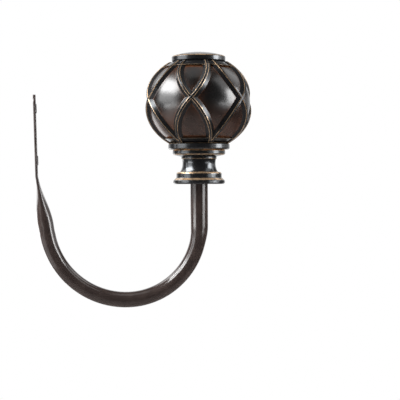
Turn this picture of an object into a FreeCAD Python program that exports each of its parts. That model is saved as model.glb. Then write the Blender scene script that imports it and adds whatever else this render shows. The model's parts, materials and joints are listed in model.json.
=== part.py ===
# Curtain holdback: a bent steel tube with a flattened wall end and a cast lattice-ball finial.
# Millimetres. +X points away from the wall, +Z up, Y along the wall.
# The origin lies on the wall face of the flattened end, midway between its two screw holes.
import math
import os

import FreeCAD
import Part

V = FreeCAD.Vector

# Hook tube
tube_d = 12.7
tube_wall = 1.0
wall_bend_r = 57.4
room_bend_r = 52.55
bend_thickness = 11.3
arm_length = 30.45
arm_splay = 1.5
oval_turn = 15.0
lead_angle = 8.8
lead_length = 42.3
flatten_length = 34.6
seam_gap = 0.3

# Flattened wall end
plate_t = 2.0 * tube_wall
plate_above = 28.6
plate_below = 30.0
screw_spacing = 37.0
screw_hole_d = 5.0
rim_d = 8.0
rim_slope = 0.7
rim_height = 0.5

# Finial: turned foot, from the underside upwards
flange_d = 37.4
flange_h = 4.7
flange_side = 2.4
bead_d = 32.8
bead_h = 4.0
bead_round = 1.5
neck_foot_d = 27.6
neck_d = 23.9
neck_top_d = 24.9
neck_h = 9.5
neck_waist = 0.58
neck_ring_step = 0.3
neck_ring_h = 1.6
small_collar_slant = 1.2
small_collar_d = 38.0
small_collar_h = 3.9
large_collar_d = 44.4
large_collar_h = 4.4
bevel = 0.8

# Finial: lattice ball and top disc
ball_d = 79.2
ball_h = 70.2
ball_below = 29.3
ball_above = 29.5
recess_depth = 2.6
ridge_count = 6
ridge_foot_w = 6.4
ridge_root = 1.2
crest_w = 1.2
crest_step = 0.1
crossing_rise = 3.3
crossing_angle = 42.0
upper_arc = 49.2
lower_arc = 55.9
lattice_turn = -14.5
band_level = 26.0
band_height = 1.3
disc_d = 38.8
disc_h = 4.4
disc_dome = 2.8

# Fastening of the finial to the tube
socket_depth = 8.0
socket_clearance = 0.1
insert_d = 9.0
insert_length = 14.0
stud_d = 6.0
stud_bevel = 0.8
stud_in_insert = 13.0
stud_in_plug = 11.0
plug_length = 12.0

# Heights on the finial's own axis, from the underside of its flange
bead_z = flange_h
neck_z = bead_z + bead_h
neck_ring_z = neck_z + neck_h
slant_z = neck_ring_z + neck_ring_h
small_collar_z = slant_z + small_collar_slant
large_collar_z = small_collar_z + small_collar_h
ball_bottom_z = large_collar_z + large_collar_h
ball_z = ball_bottom_z + ball_below
disc_z = ball_z + ball_above

# Radii of the ball before it is squashed to its height
crest_r = ball_d / 2
floor_r = crest_r - recess_depth
squash = ball_h / ball_d

ORIGIN = V(0, 0, 0)
UP = V(0, 0, 1)


def xz(x, z):
    return V(x, 0, z)


def heading(angle):
    """Direction in the hook's plane, measured from straight down towards the room."""
    a = math.radians(angle)
    return xz(math.sin(a), -math.cos(a))


def inward(angle):
    """Direction square to the heading, towards the middle of the bend."""
    a = math.radians(angle)
    return xz(math.cos(a), math.sin(a))


plate_foot = xz(plate_t / 2, -plate_below)
bend_start = plate_foot + heading(lead_angle) * lead_length
wall_centre = bend_start + inward(lead_angle) * wall_bend_r
low_heading = 90.0
bend_low = wall_centre - inward(low_heading) * wall_bend_r
room_centre = bend_low + inward(low_heading) * room_bend_r
arm_heading = 180.0 - arm_splay
arm_start = room_centre - inward(arm_heading) * room_bend_r
finial_base = arm_start + heading(arm_heading) * arm_length


def squashed_width(thickness):
    """Width of the tube where it is pressed to a thickness and keeps its girth."""
    return thickness + math.pi / 2 * (tube_d - thickness)


def oval(centre, angle, thickness, width, flatness):
    """Closed section of four tangent curves; flatness runs from 0 (elliptic) to 1 (flat sides, round ends)."""
    a = thickness / 2
    b = width / 2
    across = inward(angle)
    turn = math.radians(45 + 45 * flatness)
    s = math.sin(turn)
    c = math.cos(turn)

    def point(p, q):
        return centre + across * p + V(0, q, 0)

    def arc(p, q, r):
        return Part.Arc(point(*p), point(*q), point(*r)).toShape()

    def side(p, q, r):
        if flatness < 1:
            return arc(p, q, r)
        return Part.LineSegment(point(*p), point(*r)).toShape()

    end_r = a
    if flatness < 1:
        end_r = (a - b * (1 - s) / c) / (s - (1 - s) * (1 - c) / c)
    p = end_r * s
    q = b - end_r * (1 - c)
    return Part.Wire([
        side((p, -q), (a, 0), (p, q)),
        arc((p, q), (0, b), (-p, q)),
        side((-p, q), (-a, 0), (-p, -q)),
        arc((-p, -q), (0, -b), (p, -q)),
    ])


def tube_solid(inset):
    """The tube's outer form, or its bore when inset by the wall."""
    bend_t = bend_thickness - 2 * inset
    bend_w = squashed_width(bend_thickness) - 2 * inset
    arm_d = tube_d - 2 * inset
    arm_end = finial_base + heading(arm_heading) * socket_depth
    straight = Part.makeCylinder(arm_d / 2, (arm_end - arm_start).Length, arm_start, heading(arm_heading))

    # the bend's oval section grows round again over its last degrees
    sections = []
    steps = 6
    for i in range(steps + 1):
        share = i / steps
        ease = (1 - math.cos(math.pi * share)) / 2
        angle = arm_heading - oval_turn * (1 - share)
        sections.append(oval(room_centre - inward(angle) * room_bend_r, angle,
                             bend_t + (arm_d - bend_t) * ease, bend_w + (arm_d - bend_w) * ease, 0))
    rounding = Part.makeLoft(sections, True)
    wall_bend = Part.Face(oval(bend_start, lead_angle, bend_t, bend_w, 0)).revolve(
        wall_centre, V(0, -1, 0), low_heading - lead_angle)
    room_bend = Part.Face(oval(bend_low, low_heading, bend_t, bend_w, 0)).revolve(
        room_centre, V(0, -1, 0), arm_heading - oval_turn - low_heading)
    return straight.multiFuse([rounding, room_bend, wall_bend, pressed_run(inset)])


def pressed_run(inset):
    """The run between the bend and the wall end, where the tube is pressed flat."""
    final_t = plate_t if inset == 0 else 2 * inset + seam_gap
    steps = 8
    sections = []
    for i in range(steps + 1):
        share = i / steps
        ease = (1 - math.cos(math.pi * share)) / 2
        thickness = final_t + (bend_thickness - final_t) * ease
        centre = plate_foot + heading(lead_angle) * flatten_length * share
        angle = lead_angle if i else 0.0
        sections.append(oval(centre, angle, thickness - 2 * inset,
                             squashed_width(thickness) - 2 * inset, 1 - ease))
    sections.append(oval(bend_start, lead_angle, bend_thickness - 2 * inset,
                         squashed_width(bend_thickness) - 2 * inset, 0))
    return Part.makeLoft(sections, True)


def wall_plate():
    """The flattened end, with a full round top and its long edges as pressed."""
    width = squashed_width(plate_t)
    foot = plate_foot
    blank = Part.Face(oval(foot, 0, plate_t, width, 1)).extrude(V(0, 0, plate_below + plate_above))
    outline = Part.makeBox(4 * plate_t, 2 * width, plate_below + plate_above - width / 2 + 1,
                           V(-plate_t, -width, -plate_below - 1))
    outline = outline.fuse(Part.makeCylinder(width / 2, 4 * plate_t,
                                             V(-plate_t, 0, plate_above - width / 2), V(1, 0, 0)))
    return blank.common(outline)


def screw_levels():
    return (-screw_spacing / 2, screw_spacing / 2)


def hook_tube():
    body = tube_solid(0).fuse(wall_plate())
    for level in screw_levels():
        rim = Part.makeCone(rim_d / 2, rim_d / 2 - rim_slope, rim_height + plate_t / 2,
                            xz(plate_t / 2, level), V(1, 0, 0))
        body = body.fuse(rim)
    body = body.cut(tube_solid(tube_wall))
    for level in screw_levels():
        body = body.cut(Part.makeCylinder(screw_hole_d / 2, 6 * plate_t, xz(-plate_t, level), V(1, 0, 0)))
    return body.removeSplitter()


def beveled_ring(radius, low, high):
    """Corners of a collar's rim with both edges bevelled."""
    return [(radius - bevel, low), (radius, low + bevel), (radius, high - bevel), (radius - bevel, high)]


def turned(corners):
    """Solid of revolution through (radius, height) corners; a corner with two more values ends an arc via them."""
    edges = []
    for before, corner in zip(corners, corners[1:] + corners[:1]):
        a = xz(*before[:2])
        b = xz(*corner[:2])
        if len(corner) == 4:
            edges.append(Part.Arc(a, xz(*corner[2:]), b).toShape())
        else:
            edges.append(Part.LineSegment(a, b).toShape())
    return Part.Face(Part.Wire(edges)).revolve(ORIGIN, UP, 360)


def rounded_rim(radius, low, high, size):
    """Corners of a rim that is straight from below and rounded over at its upper edge."""
    inset = size * (1 - math.sqrt(0.5))
    return [(radius, low), (radius, high - size), (radius - size, high, radius - inset, high - inset)]


def foot():
    flange_r = flange_d / 2
    neck_top_r = neck_top_d / 2
    ring_r = neck_top_r + neck_ring_step
    return turned(
        [(0, 0), (flange_r - bevel, 0), (flange_r, bevel), (flange_r, flange_side)]
        + rounded_rim(bead_d / 2, bead_z, neck_z, bead_round)
        + [(neck_foot_d / 2, neck_z)]
        + [(neck_top_r, neck_ring_z, neck_d / 2, neck_z + neck_h * neck_waist)]
        + [(ring_r, neck_ring_z), (ring_r, slant_z)]
        + beveled_ring(small_collar_d / 2, small_collar_z, large_collar_z)
        + beveled_ring(large_collar_d / 2, large_collar_z, ball_bottom_z)
        + [(0, ball_bottom_z)])


def disc():
    """A bevelled disc with a low dome on it."""
    top = disc_z + disc_h
    dome_r = disc_d / 2 - bevel
    sphere_r = (dome_r ** 2 + disc_dome ** 2) / (2 * disc_dome)
    half_way = top + disc_dome - sphere_r + math.sqrt(sphere_r ** 2 - (dome_r / 2) ** 2)
    return turned([(0, disc_z)] + beveled_ring(disc_d / 2, disc_z, top)
                  + [(0, top + disc_dome, dome_r / 2, half_way)])


def half_ridge(side, rise):
    """A ridge from a crossing towards a pole: its section carried round a circle drawn on the ball."""
    level = math.radians(crossing_rise)
    lean = math.radians(crossing_angle)
    arc = math.radians(upper_arc if rise > 0 else lower_arc)
    out = V(math.cos(level), 0, math.sin(level))
    north = V(-math.sin(level), 0, math.cos(level))
    across = V(0, 1, 0) * (-side * math.cos(lean)) + north * (rise * math.sin(lean))
    axis = out * math.cos(arc) + across * math.sin(arc)

    # the ridges that rise to the left pass under the others by a small step
    top = crest_r if side * rise > 0 else crest_r - crest_step
    half_crest = crest_w / 2
    shoulder = math.sqrt(top ** 2 - half_crest ** 2)
    root = floor_r - ridge_root
    half_root = half_crest + (shoulder - root) * (ridge_foot_w / 2 - half_crest) / recess_depth
    crest_a = out * shoulder - across * half_crest
    crest_b = out * shoulder + across * half_crest
    root_a = out * root - across * half_root
    root_b = out * root + across * half_root
    section = Part.Face(Part.Wire([
        Part.LineSegment(root_a, crest_a).toShape(),
        Part.Arc(crest_a, out * top, crest_b).toShape(),
        Part.LineSegment(crest_b, root_b).toShape(),
        Part.LineSegment(root_b, root_a).toShape(),
    ]))

    start = out - axis * out.dot(axis)
    summit = UP * rise - axis * (rise * axis.z)
    if axis.cross(start).dot(summit) < 0:
        axis = axis * -1
    return section.revolve(ORIGIN, axis, math.degrees(start.getAngle(summit)))


def slab(low, high):
    """A block wider than the ball between two heights of the finished ball."""
    return Part.makeBox(2 * ball_d, 2 * ball_d, (high - low) / squash, V(-ball_d, -ball_d, low / squash))


def lattice_ball():
    """Recess floors, end bands and crossing ridges on a sphere, then squashed to the ball's height."""
    limits = slab(-ball_below, ball_above)
    bands = Part.makeSphere(floor_r + band_height).cut(slab(-band_level, band_level))
    core = Part.makeSphere(floor_r).fuse(bands).common(limits)
    ridges = []
    for k in range(ridge_count):
        for side in (-1, 1):
            for rise in (-1, 1):
                ridge = half_ridge(side, rise)
                ridge.rotate(ORIGIN, UP, lattice_turn - 90 + 360 * k / ridge_count)
                ridges.append(ridge.common(limits))
    squeeze = FreeCAD.Matrix()
    squeeze.A33 = squash
    ball = core.multiFuse(ridges).transformGeometry(squeeze)
    ball.translate(UP * ball_z)
    return ball


def finial():
    body = foot().multiFuse([lattice_ball(), disc()])
    socket = Part.makeCylinder(tube_d / 2 + socket_clearance, socket_depth)
    pocket = Part.makeCylinder(insert_d / 2, socket_depth + insert_length)
    return body.cut(socket.fuse(pocket))


def sleeve(outer_d, low, high):
    """A tapped sleeve on the finial's axis; its bore meets the stud's crests."""
    height = high - low
    blank = Part.makeCylinder(outer_d / 2, height, UP * low)
    return blank.cut(Part.makeCylinder(stud_d / 2, height, UP * low))


def threaded_insert():
    return sleeve(insert_d, socket_depth, socket_depth + insert_length)


def tube_plug():
    return sleeve(tube_d - 2 * tube_wall, socket_depth - plug_length, socket_depth)


def threaded_stud():
    low = socket_depth - stud_in_plug
    high = socket_depth + stud_in_insert
    r = stud_d / 2
    return turned([(0, low), (r - stud_bevel, low), (r, low + stud_bevel),
                   (r, high - stud_bevel), (r - stud_bevel, high), (0, high)])


def on_arm(shape):
    """Moves a shape from the finial's own axis to the end of the hook's arm."""
    placed = shape.copy()
    placed.rotate(ORIGIN, V(0, 1, 0), arm_splay)
    placed.translate(finial_base)
    return placed


def save(name, shape):
    shape.Solids[0].exportStep("parts/" + name + ".step")


os.makedirs("parts", exist_ok=True)
save("hook_tube", hook_tube())
save("finial", on_arm(finial()))
save("threaded_insert", on_arm(threaded_insert()))
save("threaded_stud", on_arm(threaded_stud()))
save("tube_plug", on_arm(tube_plug()))
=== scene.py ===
"""Finishes and studio stage for a curtain holdback: a bent bronze tube with a lattice-ball finial."""

import json
import math

import bpy
from mathutils import Matrix, Vector

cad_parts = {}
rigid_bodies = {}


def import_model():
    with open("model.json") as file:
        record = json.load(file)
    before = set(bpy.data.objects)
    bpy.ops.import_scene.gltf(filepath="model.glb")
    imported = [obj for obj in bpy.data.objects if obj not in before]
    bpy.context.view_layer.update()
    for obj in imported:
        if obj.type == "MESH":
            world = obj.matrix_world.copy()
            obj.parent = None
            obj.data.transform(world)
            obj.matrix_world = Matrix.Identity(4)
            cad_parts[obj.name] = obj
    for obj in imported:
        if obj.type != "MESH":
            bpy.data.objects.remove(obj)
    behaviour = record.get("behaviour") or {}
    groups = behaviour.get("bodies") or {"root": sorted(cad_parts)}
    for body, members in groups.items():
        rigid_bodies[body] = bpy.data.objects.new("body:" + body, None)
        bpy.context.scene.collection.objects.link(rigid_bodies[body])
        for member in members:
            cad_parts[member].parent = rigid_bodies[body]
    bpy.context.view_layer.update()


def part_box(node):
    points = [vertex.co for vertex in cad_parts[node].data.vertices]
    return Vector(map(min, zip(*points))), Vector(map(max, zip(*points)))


for leftover in list(bpy.data.objects):
    bpy.data.objects.remove(leftover)

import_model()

bl_info = {
    "name": "Curtain Holdback Finishes",
    "version": (1, 0, 0),
    "blender": (4, 5, 0),
    "location": "View3D > Sidebar > Holdback",
    "description": "Bronze tube, rubbed lattice-ball finial and the studio stage of a curtain holdback",
    "category": "Object",
}

MM = 0.001
WHITE = (1.0, 1.0, 1.0, 1.0)

# Each softbox: name, azimuth and elevation in degrees, width and height in metres, and its level's setting.
# Directions are seen from the finial's middle, with azimuth counted from the camera's side to the right.
SOFTBOXES = (
    ("left_softbox", -83.5, 38.0, 0.70, 0.36, "left_level"),
    ("left_step", -83.5, 23.7, 0.70, 0.075, "left_step_level"),
    ("left_middle", -83.0, 12.0, 0.74, 0.28, "left_middle_level"),
    ("left_low", -70.0, -5.0, 0.54, 0.22, "left_low_level"),
    ("left_side", -100.0, 0.0, 0.36, 0.09, "left_low_level"),
    ("left_under", -90.0, -26.0, 0.90, 0.33, "left_under_level"),
    ("left_back", -155.0, -14.0, 0.50, 0.26, "left_back_level"),
    ("left_rim", -137.0, 35.0, 0.36, 0.30, "left_rim_level"),
    ("left_card", -71.0, -6.4, 0.54, 0.065, "card_level"),
    ("right_softbox", 74.0, 11.5, 0.39, 0.45, "right_level"),
    ("right_upper", 68.0, 42.0, 0.40, 0.50, "right_upper_level"),
    ("right_card", 55.0, -6.4, 0.48, 0.065, "card_level"),
    ("right_fill", 98.0, 13.0, 0.30, 0.42, "right_fill_level"),
    ("right_rim", 122.0, 38.0, 0.45, 0.35, "right_rim_level"),
    ("right_back", 125.0, 3.0, 0.50, 0.16, "right_back_level"),
    ("top_softbox", 0.0, 89.0, 0.60, 0.60, "top_level"),
)


def middle(node):
    """Middle of a CAD node's box."""
    low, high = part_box(node)
    return (low + high) / 2


def colour_setting(name, description, default):
    return bpy.props.FloatVectorProperty(
        name=name, description=description, default=default, size=3, min=0.0, max=1.0, subtype="COLOR")


def length_setting(name, description, default):
    return bpy.props.FloatProperty(
        name=name, description=description, default=default, unit="LENGTH", precision=4)


def share_setting(name, description, default):
    return bpy.props.FloatProperty(
        name=name, description=description, default=default, min=0.0, max=1.0, subtype="FACTOR")


def angle_setting(name, description, default):
    return bpy.props.FloatProperty(
        name=name, description=description, default=math.radians(default), subtype="ANGLE")


def level_setting(name, description, default):
    return bpy.props.FloatProperty(name=name, description=description, default=default, min=0.0)


class HoldbackTubeSettings(bpy.types.PropertyGroup):
    bronze: colour_setting(
        "Bronze", "Colour of the baked bronze coat", (0.046, 0.033, 0.030))
    worn_bronze: colour_setting(
        "Worn bronze", "Colour of the paler patches in the coat", (0.062, 0.045, 0.040))
    gloss_roughness: share_setting(
        "Roughness", "Roughness of the coat's satin gloss", 0.13)
    coat_ior: level_setting(
        "Coat IOR", "Index of refraction of the coat's metallic gloss", 1.65)
    edge_round: length_setting(
        "Edge rounding", "Radius that pressing and coating leave on every edge", 1.2 * MM)
    patch_size: length_setting(
        "Patch size", "Size of the cloudy patches in the coat", 9.0 * MM)
    grain_size: length_setting(
        "Grain size", "Size of the fine grain of the coat", 0.5 * MM)
    grain_height: length_setting(
        "Grain height", "Height of the fine grain of the coat", 0.0006 * MM)


class HoldbackFinialSettings(bpy.types.PropertyGroup):
    panel_brown: colour_setting(
        "Panel brown", "Colour of the domed panels between the ridges", (0.0035, 0.0030, 0.0029))
    panel_clouds_and_underlight: colour_setting(
        "Panel clouds and underlight", "Colour of the browner clouds and of the painted underlight low on the panels", (0.058, 0.026, 0.017))
    panel_burnish: colour_setting(
        "Panel burnish", "Warm tint where panels meet the ridges", (0.130, 0.048, 0.019))
    gunmetal: colour_setting(
        "Gunmetal", "Colour of ridges, collars and disc", (0.012, 0.0118, 0.0125))
    painted_reflection_tint: colour_setting(
        "Painted reflection tint", "Painted cold tint of the dark parts' reflections, standing in for a bluish room", (0.90, 0.95, 1.0))
    copper: colour_setting(
        "Copper rub", "Colour rubbed on the crests and ring edges", (0.78, 0.53, 0.31))
    panel_roughness: share_setting(
        "Panel roughness", "Roughness of the panels", 0.27)
    gunmetal_roughness: share_setting(
        "Gunmetal roughness", "Roughness of the dark parts", 0.21)
    wall_dulling: share_setting(
        "Wall dulling", "Share of the gloss that the ridges' walls lose", 0.45)
    edge_round: length_setting(
        "Edge rounding", "Radius that casting leaves on every edge", 0.35 * MM)
    rub_patch: length_setting(
        "Rub patch", "Length over which the copper rub comes and goes", 4.0 * MM)
    corner_reach: length_setting(
        "Corner reach", "How far a corner dulls the gloss beside it", 2.2 * MM)
    border_reach: length_setting(
        "Border reach", "How far from a ridge the panels are burnished", 9.0 * MM)
    socket_depth: length_setting(
        "Socket depth", "How far the tube enters the foot", 8.0 * MM)
    ball_height: length_setting(
        "Ball middle", "Height of the ball's middle above the foot", 58.6 * MM)
    ball_below: length_setting(
        "Ball below", "Height of the ball under its middle", 29.3 * MM)
    ball_above: length_setting(
        "Ball above", "Height of the ball over its middle", 29.5 * MM)
    crest_radius: length_setting(
        "Crest radius", "Radius of the ball over the ridge crests", 39.6 * MM)
    recess_depth: length_setting(
        "Recess depth", "Depth of the panels under the crests", 2.6 * MM)
    squash: share_setting(
        "Squash", "Height of the ball as a share of its width", 70.2 / 79.2)
    band_level: length_setting(
        "Band level", "Height of the end bands' edges from the ball's middle", 26.0 * MM)
    disc_line: length_setting(
        "Disc line", "Height of the copper line on the disc's edge over the ball", 4.0 * MM)


class HoldbackFasteningSettings(bpy.types.PropertyGroup):
    brass: colour_setting("Brass", "Colour of the threaded insert", (0.60, 0.42, 0.17))
    steel: colour_setting("Steel", "Colour of the stud and the tube plug", (0.45, 0.45, 0.46))
    roughness: share_setting("Roughness", "Roughness of the turned metal", 0.35)
    mark_size: length_setting("Turning marks", "Spacing of the turning marks", 1.885 * MM)


class HoldbackStageSettings(bpy.types.PropertyGroup):
    camera_place: bpy.props.FloatVectorProperty(
        name="Camera place", description="Where the camera stands", size=3, subtype="XYZ", unit="LENGTH",
        default=(1.18 * MM, -1000.0 * MM, -35.95 * MM))
    camera_yaw: angle_setting("Camera yaw", "Turn of the camera to the right", 6.653)
    camera_pitch: angle_setting("Camera pitch", "Tilt of the camera upwards", -0.823)
    camera_roll: angle_setting("Camera roll", "Roll of the camera about its own axis", -1.729)
    lens: bpy.props.FloatProperty(
        name="Lens", description="Focal length in millimetres on a 36 mm sensor", default=125.2)
    floor_drop: length_setting(
        "Floor drop", "How far the floor lies under the holdback", 0.40)
    floor_radius: length_setting(
        "Floor radius", "Radius of the round floor", 0.9)
    floor_colour: colour_setting(
        "Floor", "Colour of the floor", (0.90, 0.90, 0.90))
    floor_painted_dim_in_gloss: colour_setting(
        "Floor painted dim in gloss", "Painted darker colour of the floor where gloss mirrors it", (0.26, 0.23, 0.22))
    box_distance: length_setting(
        "Softbox distance", "Distance of the softboxes from the finial", 0.85)
    room_level: level_setting(
        "Room level", "Brightness of the room around the stage", 0.03)
    dark_level: level_setting(
        "Dark front", "Brightness of the room that gloss mirrors in front", 0.035)
    left_level: level_setting(
        "Left softbox", "Brightness of the left softbox", 14.0)
    left_step_level: level_setting(
        "Left step", "Brightness of the passage under the left softbox", 7.0)
    left_middle_level: level_setting(
        "Left middle", "Brightness of the wall under that passage", 2.9)
    left_low_level: level_setting(
        "Left low", "Brightness of the wall low on the left", 1.4)
    left_under_level: level_setting(
        "Left under", "Brightness of the wall lowest on the left", 0.65)
    left_back_level: level_setting(
        "Left back", "Brightness of the backdrop low behind on the left", 1.55)
    left_rim_level: level_setting(
        "Left rim", "Brightness of the softbox high behind on the left", 3.1)
    card_level: level_setting(
        "Low cards", "Brightness of the low cards at both sides", 6.0)
    right_level: level_setting(
        "Right softbox", "Brightness of the right softbox", 9.0)
    right_upper_level: level_setting(
        "Right upper", "Brightness of the wall over the right softbox", 1.25)
    right_fill_level: level_setting(
        "Right fill", "Brightness of the wall beside the right softbox", 1.6)
    right_rim_level: level_setting(
        "Right rim", "Brightness of the softbox high behind on the right", 1.4)
    right_back_level: level_setting(
        "Right back", "Brightness of the wall low behind on the right", 0.5)
    top_level: level_setting(
        "Top softbox", "Brightness of the softbox overhead", 0.5)


class ShaderTree:
    """A node tree, with short ways to add and join its nodes."""

    COLUMN_WIDTH = 190
    ROW_HEIGHT = 160
    ROWS = 5

    def __init__(self, tree):
        self.tree = tree
        self.tree.nodes.clear()
        self.count = 0

    def new(self, kind, label, **settings):
        """Adds a bare node, to the right of the last one."""
        made = self.tree.nodes.new(kind)
        made.label = label
        made.location = (self.count * self.COLUMN_WIDTH, -(self.count % self.ROWS) * self.ROW_HEIGHT)
        self.count += 1
        for setting, value in settings.items():
            setattr(made, setting, value)
        return made

    def fill(self, socket, value):
        """Links an input to another node's socket, or sets it to a value."""
        if isinstance(value, bpy.types.NodeSocket):
            self.tree.links.new(value, socket)
        else:
            socket.default_value = value

    def add(self, kind, label, inputs, **settings):
        """Adds a node and fills its inputs."""
        made = self.new(kind, label, **settings)
        for key, value in inputs.items():
            self.fill(made.inputs[key], value)
        return made

    def math(self, label, operation, *values):
        made = self.add("ShaderNodeMath", label, dict(enumerate(values)), operation=operation)
        return made.outputs[0]

    def ramp(self, label, value, start, end, low=0.0, high=1.0):
        """Smooth passage from low to high as the value goes from start to end."""
        made = self.add("ShaderNodeMapRange", label, {
            "Value": value, "From Min": start, "From Max": end, "To Min": low, "To Max": high,
        }, interpolation_type="SMOOTHSTEP")
        return made.outputs["Result"]

    def window(self, label, value, centre, half_width, edge):
        """One inside a span around the centre, and zero outside, with soft edges."""
        offset = self.math(label + " offset", "SUBTRACT", value, centre)
        away = self.math(label + " distance", "ABSOLUTE", offset)
        return self.ramp(label, away, half_width + edge / 2, half_width - edge / 2)

    def noise(self, label, vector, scale, detail=3.0, roughness=0.5):
        made = self.add("ShaderNodeTexNoise", label, {
            "Vector": vector, "Scale": scale, "Detail": detail, "Roughness": roughness,
        })
        return made.outputs["Fac"]

    def mix_colour(self, label, share, first, second):
        made = self.new("ShaderNodeMix", label, data_type="RGBA")
        sockets = [socket for socket in made.inputs if socket.enabled]
        for socket, value in zip(sockets, (share, first, second)):
            self.fill(socket, value)
        return next(socket for socket in made.outputs if socket.enabled)


class FinishTree(ShaderTree):
    """The node tree of one finish."""

    def __init__(self, name):
        self.material = bpy.data.materials.new(name)
        self.material.use_nodes = True
        super().__init__(self.material.node_tree)

    def object_coordinates(self):
        return self.add("ShaderNodeTexCoord", "Piece coordinates", {}).outputs["Object"]

    def satin(self, label, clouds, roughness):
        """Roughness that comes and goes a little with the clouds."""
        return self.ramp(label, clouds, 0.3, 0.7, roughness - 0.03, roughness + 0.04)

    def relief(self, label, height, distance, edge_round, samples):
        """Normal of a fine relief on a surface whose edges are rounded."""
        rounded = self.add("ShaderNodeBevel", "Soft edges", {"Radius": edge_round}, samples=samples)
        bump = self.add("ShaderNodeBump", label, {
            "Strength": 1.0, "Distance": distance, "Height": height, "Normal": rounded.outputs["Normal"]})
        return bump.outputs["Normal"]

    def surface(self, inputs):
        shader = self.add("ShaderNodeBsdfPrincipled", "Surface", inputs)
        self.add("ShaderNodeOutputMaterial", "Output", {"Surface": shader.outputs["BSDF"]})
        return self.material


def rgba(colour):
    return (colour[0], colour[1], colour[2], 1.0)


def dress(node, material):
    """Gives a CAD node its finish."""
    piece = bpy.data.objects.get(node)
    if piece is None:
        raise RuntimeError("missing piece: " + node)
    piece.data.materials.clear()
    piece.data.materials.append(material)


class HOLDBACK_OT_finish_tube(bpy.types.Operator):
    """Gives the bent tube its baked bronze coat"""
    bl_idname = "holdback.finish_tube"
    bl_label = "Finish Tube"

    def execute(self, context):
        s = context.scene.holdback_tube
        finish = FinishTree("bronze_coat")
        place = finish.object_coordinates()
        patches = finish.noise("Cloudy patches", place, 1 / s.patch_size, 4.0, 0.55)
        patch_share = finish.ramp("Patch share", patches, 0.38, 0.66)
        grain = finish.noise("Coat grain", place, 1 / s.grain_size, 2.0)
        colour = finish.mix_colour("Coat colour", patch_share, rgba(s.bronze), rgba(s.worn_bronze))
        roughness = finish.satin("Coat roughness", patches, s.gloss_roughness)
        normal = finish.relief("Grain relief", grain, s.grain_height, s.edge_round, samples=12)
        dress("hook_tube", finish.surface({
            "Base Color": colour, "Roughness": roughness, "IOR": s.coat_ior, "Normal": normal}))
        return {"FINISHED"}


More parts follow.
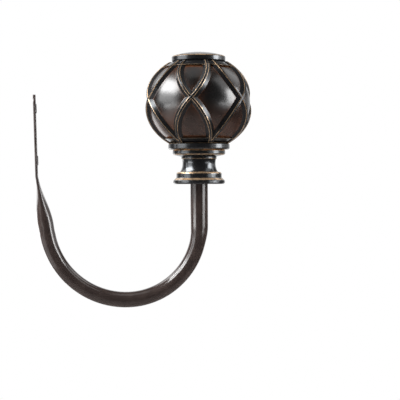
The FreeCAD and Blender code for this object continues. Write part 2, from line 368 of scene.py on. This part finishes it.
class HOLDBACK_OT_finish_finial(bpy.types.Operator):
    """Gives the finial its brown panels, gunmetal ridges and rubbed copper edges"""
    bl_idname = "holdback.finish_finial"
    bl_label = "Finish Finial"

    # These lengths are in millimetres.
    # Softness of the ring lines' edges, and height of the casting's ripple.
    LINE_EDGE = 0.25
    RIPPLE_HEIGHT = 0.006
    # Heights over the panels where their colour starts to fade and where it ends.
    PANEL_END = (0.05, 0.30)
    # Height over the panels, half width and softness of the burnish at a ridge's root.
    ROOT_LINE = (0.40, 0.25, 0.20)
    # Depth under the crests, half width and softness of the copper lines beside them.
    CREST_LINE = (0.34, 0.14, 0.18)
    # Depths under the crests where the ridges' walls start to dull and where they are dullest.
    WALL_DEPTHS = (0.15, 0.90)
    # Heights from the ball's middle where the painted underlight starts and where it is full: the panels
    # turn browner low on the ball, standing in for light from below.
    PAINTED_UNDERLIGHT = (5.0, -24.0)

    def axis(self, s):
        """Foot of the finial's own axis, and how far it leans towards the room."""
        upright = (middle("threaded_insert") - middle("tube_plug")).normalized()
        plug_low, plug_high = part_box("tube_plug")
        plug_radius = (plug_high.y - plug_low.y) / 2
        lean = math.atan2(upright.x, upright.z)
        half_length = ((plug_high.z - plug_low.z) / 2 - plug_radius * math.sin(lean)) / math.cos(lean)
        shoulder = middle("tube_plug") + upright * half_length
        return shoulder - upright * s.socket_depth, lean

    def ring_lines(self, s):
        """Names, heights over the foot, half widths and strengths of the rings' copper lines."""
        ball_middle = s.ball_height / MM
        band = s.band_level / MM
        top = ball_middle + s.ball_above / MM
        bottom = ball_middle - s.ball_below / MM
        return (
            ("Flange line", 3.6, 0.65, 0.85),
            ("Bead line", 8.2, 0.55, 1.0),
            ("Neck line", 18.3, 0.25, 0.5),
            ("Small collar's lower line", 21.2, 0.40, 0.7),
            ("Small collar's upper line", 24.45, 0.50, 1.0),
            ("Lower band line", ball_middle - band, 0.25, 0.2),
            ("Upper band line", ball_middle + band, 0.25, 0.4),
            ("Ball's foot line", bottom, 0.25, 0.3),
            ("Disc line", top + s.disc_line / MM, 0.35, 0.8),
        )

    def copper_rub(self, finish, s, upright, height, crest_edge):
        """Where copper is rubbed on: the crest edges and ring lines, coming and going in patches."""
        patches = finish.noise("Rub patches", upright, MM / s.rub_patch, 3.0)
        rub_share = finish.ramp("Rub share", patches, 0.38, 0.62, 0.35, 1.0)
        lines = crest_edge
        for label, line_height, half_width, strength in self.ring_lines(s):
            line = finish.window(label, height, line_height, half_width, self.LINE_EDGE)
            line = finish.math(label + " strength", "MULTIPLY", line, strength)
            lines = finish.math("Copper lines", "MAXIMUM", lines, line)
        return finish.math("Copper rub", "MULTIPLY", lines, rub_share)

    def panel_colour(self, finish, s, cloud, height, ball_centre, at_root):
        """Near-black panels, browner in random clouds and browner low down as painted underlight, with a
        warm burnish beside the ridges.
        """
        border = finish.add("ShaderNodeAmbientOcclusion", "Panel borders",
                            {"Distance": s.border_reach}, samples=16)
        border_share = finish.ramp("Border share", border.outputs["AO"], 0.985, 0.78)
        burnish_clouds = finish.ramp("Burnish clouds", cloud, 0.35, 0.65, 0.35, 1.0)
        burnish = finish.math("Burnish", "MULTIPLY", border_share, burnish_clouds)
        roots = finish.math("Roots", "MULTIPLY", at_root, 0.4)
        burnish = finish.math("Burnish at roots", "MAXIMUM", burnish, roots)
        # Painted light: the panels turn browner towards the bottom of the ball, standing in for light from
        # below.
        underlight_start, underlight_full = self.PAINTED_UNDERLIGHT
        low_down = finish.ramp("Low on the ball", height, ball_centre + underlight_start, ball_centre + underlight_full)
        painted_underlight = finish.math("Painted underlight", "MULTIPLY", low_down, 0.74)
        glow = finish.math("Brown clouds", "MULTIPLY_ADD", cloud, 0.9, -0.44)
        glow = finish.math("Clouds and underlight share", "ADD", glow, painted_underlight)
        glow = finish.ramp("Glow", glow, 0.0, 1.0)
        brown = finish.mix_colour("Panel clouds colour", glow, rgba(s.panel_brown), rgba(s.panel_clouds_and_underlight))
        return finish.mix_colour("Panel colour", burnish, brown, rgba(s.panel_burnish))

    def gloss_share(self, finish, s, on_wall):
        """Gloss of the paint, which is dull in the corners and on the ridges' walls."""
        cavity = finish.add("ShaderNodeAmbientOcclusion", "Corners", {"Distance": s.corner_reach}, samples=6)
        gloss = finish.ramp("Gloss outside the corners", cavity.outputs["AO"], 0.52, 0.96, 0.06, 1.0)
        bare = finish.math("Outside the walls", "SUBTRACT", 1.0, on_wall)
        return finish.math("Gloss", "MULTIPLY", gloss, bare)

    def execute(self, context):
        s = context.scene.holdback_finial
        foot, lean = self.axis(s)
        crest = s.crest_radius / MM
        panel = (s.crest_radius - s.recess_depth) / MM

        finish = FinishTree("rubbed_bronze")
        place = finish.object_coordinates()
        upright = finish.add("ShaderNodeMapping", "Finial axis in millimetres", {
            "Vector": place, "Location": foot, "Rotation": (0, lean, 0), "Scale": (MM, MM, MM),
        }, vector_type="TEXTURE").outputs["Vector"]
        height = finish.add("ShaderNodeSeparateXYZ", "Height", {"Vector": upright}).outputs["Z"]
        ball = finish.add("ShaderNodeMapping", "Ball coordinates", {
            "Vector": upright, "Location": (0, 0, s.ball_height / MM), "Scale": (1, 1, s.squash),
        }, vector_type="TEXTURE").outputs["Vector"]
        reach = finish.add("ShaderNodeVectorMath", "Reach from the ball's middle", {0: ball},
                           operation="LENGTH").outputs["Value"]

        ball_span = (s.ball_below + s.ball_above) / 2 / MM
        ball_centre = s.ball_height / MM + (s.ball_above - s.ball_below) / 2 / MM
        on_ball = finish.window("On the ball", height, ball_centre, ball_span, 0.1)
        panel_full, panel_gone = self.PANEL_END
        panel_level = finish.ramp("Panel level", reach, panel + panel_gone, panel + panel_full)
        on_panel = finish.math("On a panel", "MULTIPLY", on_ball, panel_level)
        off_panel = finish.math("Off the panels", "SUBTRACT", on_ball, on_panel)
        root_height, root_half_width, root_edge = self.ROOT_LINE
        root_level = finish.window("Root level", reach, panel + root_height, root_half_width, root_edge)
        at_root = finish.math("At a ridge's root", "MULTIPLY", on_ball, root_level)
        wall_start, wall_full = self.WALL_DEPTHS
        wall_level = finish.ramp(
            "Wall level", reach, crest - wall_start, crest - wall_full, 0.0, s.wall_dulling)
        on_wall = finish.math("On a ridge's wall", "MULTIPLY", off_panel, wall_level)
        line_drop, line_half_width, line_edge = self.CREST_LINE
        crest_level = finish.window("Crest level", reach, crest - line_drop, line_half_width, line_edge)
        crest_edge = finish.math("Crest edge", "MULTIPLY", on_ball, crest_level)

        cloud = finish.noise("Panel clouds", upright, 0.075, 3.0, 0.5)
        copper = self.copper_rub(finish, s, upright, height, crest_edge)
        brown = self.panel_colour(finish, s, cloud, height, ball_centre, at_root)
        gloss = self.gloss_share(finish, s, on_wall)
        body = finish.mix_colour("Body colour", on_panel, rgba(s.gunmetal), brown)
        colour = finish.mix_colour("Rubbed colour", copper, body, rgba(s.copper))

        satin = finish.satin("Panel satin", cloud, s.panel_roughness)
        smooth = finish.math("Satin step", "SUBTRACT", satin, s.gunmetal_roughness)
        smooth = finish.math("Satin share", "MULTIPLY_ADD", smooth, on_panel, s.gunmetal_roughness)
        roughness = finish.math("Roughness", "MULTIPLY_ADD", copper, 0.12, smooth)
        metal = finish.math("Metal", "MULTIPLY", copper, 0.85)
        # Painted reflection: the dark parts' gloss is tinted cold blue, standing in for a bluish room that
        # they mirror.
        gleam = finish.mix_colour("Painted reflection tint colour", on_panel, rgba(s.painted_reflection_tint), WHITE)

        ripple = finish.noise("Casting ripple", upright, 0.45, 2.0)
        normal = finish.relief("Ripple relief", ripple, self.RIPPLE_HEIGHT * MM, s.edge_round, samples=6)
        dress("finial", finish.surface({
            "Base Color": colour, "Roughness": roughness, "Metallic": metal,
            "Specular IOR Level": gloss, "Specular Tint": gleam, "Normal": normal}))
        return {"FINISHED"}


class HOLDBACK_OT_finish_fastening(bpy.types.Operator):
    """Gives the brass insert, the steel stud and the tube plug their turned metal"""
    bl_idname = "holdback.finish_fastening"
    bl_label = "Finish Fastening"

    # A wave pattern turns by 20 radians over each unit of length.
    WAVE_RATE = 20.0
    DULL_SHARE = 0.8

    def turned_metal(self, name, colour, s):
        finish = FinishTree(name)
        place = finish.object_coordinates()
        marks = finish.add("ShaderNodeTexWave", "Turning marks", {
            "Vector": place, "Scale": math.tau / (self.WAVE_RATE * s.mark_size),
            "Distortion": 0.6, "Detail": 2.0,
        }, bands_direction="Z").outputs["Fac"]
        dull = tuple(self.DULL_SHARE * channel for channel in colour)
        shade = finish.mix_colour("Turned colour", marks, rgba(dull), rgba(colour))
        roughness = finish.ramp("Turned roughness", marks, 0.0, 1.0, s.roughness + 0.06, s.roughness - 0.06)
        return finish.surface({"Base Color": shade, "Roughness": roughness, "Metallic": 1.0})

    def execute(self, context):
        s = context.scene.holdback_fastening
        dress("threaded_insert", self.turned_metal("turned_brass", tuple(s.brass), s))
        steel = self.turned_metal("turned_steel", tuple(s.steel), s)
        dress("threaded_stud", steel)
        dress("tube_plug", steel)
        return {"FINISHED"}


class HOLDBACK_OT_set_stage(bpy.types.Operator):
    """Sets the pale floor, the softboxes, the white background and the camera"""
    bl_idname = "holdback.set_stage"
    bl_label = "Set Stage"

    def paper(self, s):
        """Pale paper that fades to the background's white towards the floor's edge, and is painted darker
        where gloss mirrors it.
        """
        finish = FinishTree("floor_paper")
        place = finish.object_coordinates()
        flat = finish.add("ShaderNodeVectorMath", "Across the floor", {0: place, 1: (1, 1, 0)},
                          operation="MULTIPLY").outputs["Vector"]
        away = finish.add("ShaderNodeVectorMath", "Distance from the middle", {0: flat},
                          operation="LENGTH").outputs["Value"]
        fade_start = 0.45 * s.floor_radius
        fade_end = 0.98 * s.floor_radius
        to_edge = finish.ramp("Fade to the edge", away, fade_start, fade_end, 0.6, 1.0)
        ray = finish.add("ShaderNodeLightPath", "Ray", {}).outputs
        white_share = finish.math("White share", "MULTIPLY", to_edge, ray["Is Camera Ray"])
        grain = finish.noise("Paper grain", place, 60.0, 3.0)
        tone = finish.ramp("Paper tone", grain, 0.2, 0.8, 0.0, 0.06)
        shade = finish.mix_colour("Paper colour", tone, rgba(s.floor_colour), (0.8, 0.8, 0.8, 1.0))
        # Painted shade: gloss mirrors the floor in a darker colour than the floor has.
        shade = finish.mix_colour("Paper painted dim in gloss", ray["Is Glossy Ray"], shade, rgba(s.floor_painted_dim_in_gloss))
        matt = finish.add("ShaderNodeBsdfDiffuse", "Paper", {"Color": shade})
        white = finish.add("ShaderNodeEmission", "White", {"Color": WHITE, "Strength": 1.0})
        both = finish.add("ShaderNodeMixShader", "Paper and white", {
            0: white_share, 1: matt.outputs["BSDF"], 2: white.outputs["Emission"]})
        finish.add("ShaderNodeOutputMaterial", "Output", {"Surface": both.outputs["Shader"]})
        return finish.material

    def lay_floor(self, s):
        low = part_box("hook_tube")[0].z - s.floor_drop
        bpy.ops.object.select_all(action="DESELECT")
        bpy.ops.mesh.primitive_circle_add(
            vertices=96, radius=s.floor_radius, fill_type="NGON", location=(0, 0, low))
        floor = bpy.context.object
        floor.name = "studio_floor"
        bpy.ops.object.transform_apply(location=True)
        floor.data.materials.append(self.paper(s))

    def hang_softbox(self, s, name, azimuth, elevation, width, height, level):
        """A softbox in a direction seen from the finial, turned towards it."""
        around = math.radians(azimuth)
        up = math.radians(elevation)
        direction = Vector((math.sin(around) * math.cos(up), -math.cos(around) * math.cos(up), math.sin(up)))
        place = middle("finial") + direction * s.box_distance
        turn = direction.to_track_quat("Z", "Y").to_euler()
        bpy.ops.object.select_all(action="DESELECT")
        bpy.ops.object.light_add(type="AREA", location=place, rotation=turn)
        lamp = bpy.context.object
        lamp.name = name
        lamp.data.shape = "RECTANGLE"
        lamp.data.size = width
        lamp.data.size_y = height
        lamp.data.energy = level * math.pi * width * height
        lamp.visible_camera = False

    def paint_world(self, s):
        """A dim room that is white where the camera sees it, and behind the holdback in gloss."""
        world = bpy.data.worlds.new("studio_room")
        world.use_nodes = True
        bpy.context.scene.world = world
        tree = ShaderTree(world.node_tree)
        direction = tree.add("ShaderNodeTexCoord", "Direction", {}).outputs["Generated"]
        backward = tree.add("ShaderNodeSeparateXYZ", "Backward", {"Vector": direction}).outputs["Y"]
        backdrop = tree.ramp("Backdrop", backward, 0.72, 0.88)
        ray = tree.add("ShaderNodeLightPath", "Ray", {}).outputs
        mirrored = tree.math("Backdrop in gloss", "MULTIPLY", ray["Is Glossy Ray"], backdrop)
        seen = tree.math("Seen white", "MAXIMUM", ray["Is Camera Ray"], mirrored)
        seen = tree.math("Seen white through", "MAXIMUM", seen, ray["Is Transmission Ray"])
        dimming = tree.ramp("Dimming", ray["Is Glossy Ray"], 0.0, 1.0, s.room_level, s.dark_level)
        room = tree.add("ShaderNodeBackground", "Room", {"Color": WHITE, "Strength": dimming})
        white = tree.add("ShaderNodeBackground", "White", {"Color": WHITE, "Strength": 1.0})
        both = tree.add("ShaderNodeMixShader", "Room and white", {
            0: seen, 1: room.outputs["Background"], 2: white.outputs["Background"]})
        tree.add("ShaderNodeOutputWorld", "Output", {"Surface": both.outputs["Shader"]})

    def place_camera(self, s):
        yaw, pitch, roll = s.camera_yaw, s.camera_pitch, s.camera_roll
        ahead = Vector((math.sin(yaw) * math.cos(pitch), math.cos(yaw) * math.cos(pitch), math.sin(pitch)))
        right = Vector((math.cos(yaw), -math.sin(yaw), 0.0))
        up = right.cross(ahead)
        right_rolled = right * math.cos(roll) + up * math.sin(roll)
        up_rolled = up * math.cos(roll) - right * math.sin(roll)
        turn = Matrix((right_rolled, up_rolled, -ahead)).transposed()
        bpy.ops.object.select_all(action="DESELECT")
        bpy.ops.object.camera_add(location=s.camera_place, rotation=turn.to_euler())
        camera = bpy.context.object
        camera.name = "photo_camera"
        camera.data.sensor_width = 36.0
        camera.data.lens = s.lens
        camera.data.clip_start = 0.01
        camera.data.clip_end = 20.0
        bpy.context.scene.camera = camera

    def execute(self, context):
        s = context.scene.holdback_stage
        self.lay_floor(s)
        for name, azimuth, elevation, width, height, level in SOFTBOXES:
            self.hang_softbox(s, name, azimuth, elevation, width, height, getattr(s, level))
        self.paint_world(s)
        self.place_camera(s)
        context.scene.view_settings.view_transform = "Standard"
        return {"FINISHED"}


class HOLDBACK_PT_panel(bpy.types.Panel):
    """Lists the holdback's finishes and stage"""
    bl_idname = "HOLDBACK_PT_panel"
    bl_label = "Curtain Holdback"
    bl_space_type = "VIEW_3D"
    bl_region_type = "UI"
    bl_category = "Holdback"

    def draw(self, context):
        for operator, settings in STEPS:
            box = self.layout.box()
            box.operator(operator)
            group = getattr(context.scene, settings)
            for name in group.__annotations__:
                box.prop(group, name)


STEPS = (
    ("holdback.finish_tube", "holdback_tube"),
    ("holdback.finish_finial", "holdback_finial"),
    ("holdback.finish_fastening", "holdback_fastening"),
    ("holdback.set_stage", "holdback_stage"),
)

GROUPS = {
    "holdback_tube": HoldbackTubeSettings,
    "holdback_finial": HoldbackFinialSettings,
    "holdback_fastening": HoldbackFasteningSettings,
    "holdback_stage": HoldbackStageSettings,
}

CLASSES = (
    *GROUPS.values(),
    HOLDBACK_OT_finish_tube,
    HOLDBACK_OT_finish_finial,
    HOLDBACK_OT_finish_fastening,
    HOLDBACK_OT_set_stage,
    HOLDBACK_PT_panel,
)


def register():
    for cls in CLASSES:
        bpy.utils.register_class(cls)
    for name, group in GROUPS.items():
        setattr(bpy.types.Scene, name, bpy.props.PointerProperty(type=group))


def unregister():
    for name in GROUPS:
        delattr(bpy.types.Scene, name)
    for cls in reversed(CLASSES):
        bpy.utils.unregister_class(cls)


def main():
    register()
    bpy.ops.holdback.finish_tube()
    bpy.ops.holdback.finish_finial()
    bpy.ops.holdback.finish_fastening()
    bpy.ops.holdback.set_stage()


if __name__ == "__main__":
    main()
